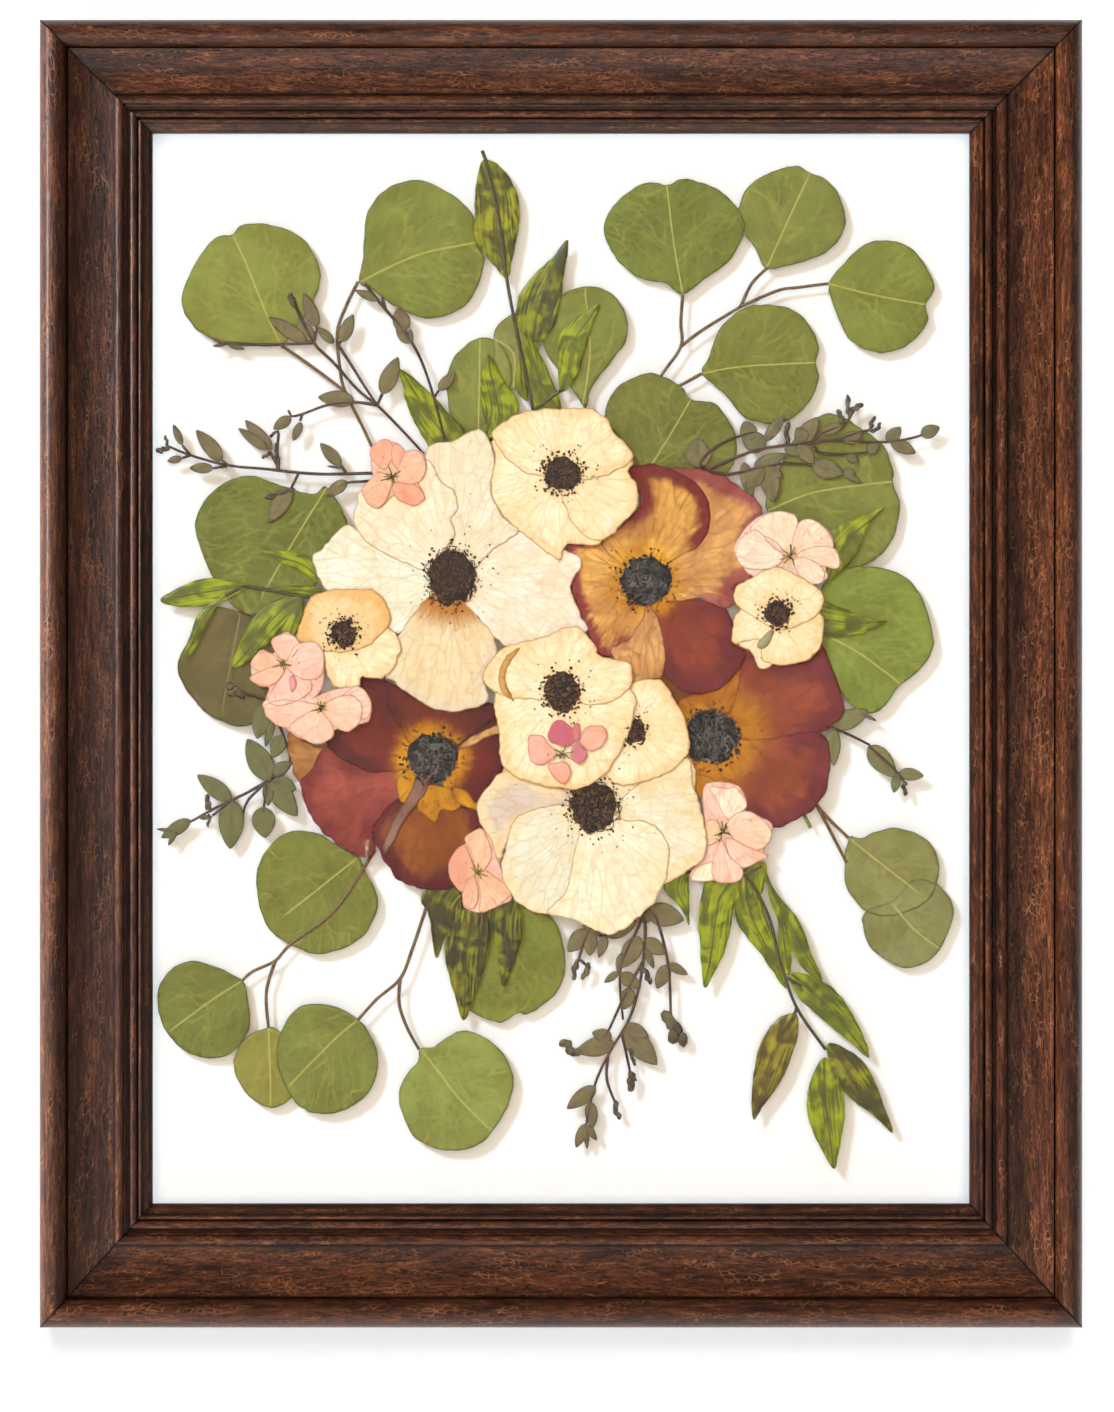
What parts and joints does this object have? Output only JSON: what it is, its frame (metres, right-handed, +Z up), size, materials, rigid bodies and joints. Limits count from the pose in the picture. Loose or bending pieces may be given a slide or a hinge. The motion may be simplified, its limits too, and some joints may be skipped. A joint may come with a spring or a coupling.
{
  "type": "pressed flower frame",
  "caption": "Dark moulded wooden frame with pressed leaves, twigs and large flat flowers between glass in front of a white board.",
  "frame": {"origin": "centre of the whole frame's box", "axes": "+Z up, +X to the right seen from the front, the glazed front faces -Y"},
  "size_m": [0.338, 0.031, 0.424],
  "materials": {
    "walnut": "dark walnut stain under a satin varnish",
    "glass": "clear float glass",
    "foam_board": "white foam board strip",
    "board": "hardboard with a white face",
    "steel": "zinc plated sheet steel",
    "rubber": "black rubber foot",
    "eucalyptus": "dried olive green leaf with pale veins",
    "ruscus": "glossy mottled green leaf",
    "twig": "dried grey green leaflets on near-black stems",
    "cream_petal": "thin dried cream petal with fine veins",
    "maroon_petal": "dried maroon petal, golden at its base",
    "pink_petal": "thin dried pale pink petal"
  },
  "bodies": {
    "root": {"rail_top": "walnut", "rail_bottom": "walnut", "rail_left": "walnut", "rail_right": "walnut", "glass_front": "glass", "glass_back": "glass", "spacer_top": "foam_board", "spacer_bottom": "foam_board", "spacer_left": "foam_board", "spacer_right": "foam_board", "backing_board": "board", "flex_point_top_left": "steel", "flex_point_top_right": "steel", "flex_point_bottom_left": "steel", "flex_point_bottom_right": "steel", "sawtooth_hanger": "steel", "bumper_left": "rubber", "bumper_right": "rubber", "eucalyptus_top_left": "eucalyptus", "eucalyptus_top_right": "eucalyptus", "eucalyptus_leaf_top": "eucalyptus", "eucalyptus_leaf_upper": "eucalyptus", "eucalyptus_leaf_middle": "eucalyptus", "eucalyptus_leaf_right_high": "eucalyptus", "eucalyptus_leaf_right_low": "eucalyptus", "eucalyptus_leaf_left_high": "eucalyptus", "eucalyptus_leaf_left_low": "eucalyptus", "eucalyptus_bottom_left": "eucalyptus", "eucalyptus_bottom_middle": "eucalyptus", "eucalyptus_leaf_bottom": "eucalyptus", "eucalyptus_right": "eucalyptus", "ruscus_top": "ruscus", "ruscus_left": "ruscus", "ruscus_leaf_right_high": "ruscus", "ruscus_leaf_right_low": "ruscus", "ruscus_bottom_left": "ruscus", "ruscus_bottom_right": "ruscus", "twig_s1": "twig", "twig_s2": "twig", "twig_s3": "twig", "twig_s4": "twig", "twig_s5": "twig", "twig_s6": "twig", "twig_s7": "twig", "flower_a": "cream_petal", "flower_b": "cream_petal", "flower_c": "cream_petal", "flower_d": "cream_petal", "flower_e": "cream_petal", "flower_f": "cream_petal", "flower_g": "cream_petal", "flower_p1": "maroon_petal", "flower_p2": "maroon_petal", "flower_p3": "maroon_petal", "florets_k1": "pink_petal", "florets_k2": "pink_petal", "florets_k3": "pink_petal", "florets_k5": "pink_petal", "florets_k6": "pink_petal", "florets_k7": "pink_petal"}
  },
  "joints": []
}
